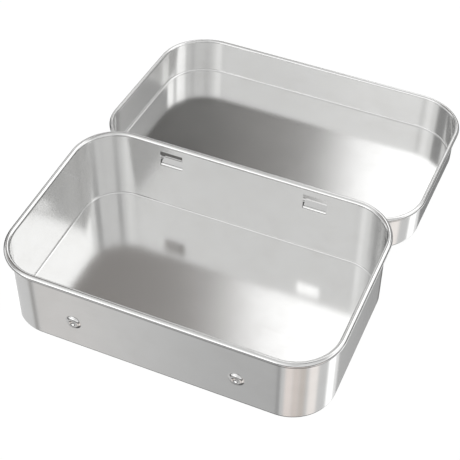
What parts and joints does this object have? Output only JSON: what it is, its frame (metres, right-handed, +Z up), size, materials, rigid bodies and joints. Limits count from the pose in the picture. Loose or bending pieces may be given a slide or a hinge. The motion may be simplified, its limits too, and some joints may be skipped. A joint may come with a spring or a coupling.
{
  "type": "hinged metal tin",
  "caption": "Flat rectangular tinplate tin with rounded corners: a deep tray with a rolled rim and a shallower lid that folds right back on two curled tabs.",
  "frame": {"origin": "centre of the flat underside of the base tray, where it rests on the table", "axes": "+X along the length of the tin, towards the right end; +Y from the front to the hinge, where the open lid lies; +Z up out of the tray"},
  "size_m": [0.1008, 0.129, 0.0243],
  "materials": {
    "tinplate_base": "bare bright tinplate, satin inside, unprinted",
    "tinplate_lid": "bare bright tinplate, satin inside, unprinted"
  },
  "bodies": {
    "base": {"base_tray": "tinplate_base"},
    "lid": {"lid": "tinplate_lid"}
  },
  "joints": [
    {"name": "lid_hinge", "type": "hinge", "parent": "base", "child": "lid", "pos_m": [0, 0.03225, 0.0162], "axis": [1, 0, 0], "range_deg": [0, 184.4]}
  ]
}
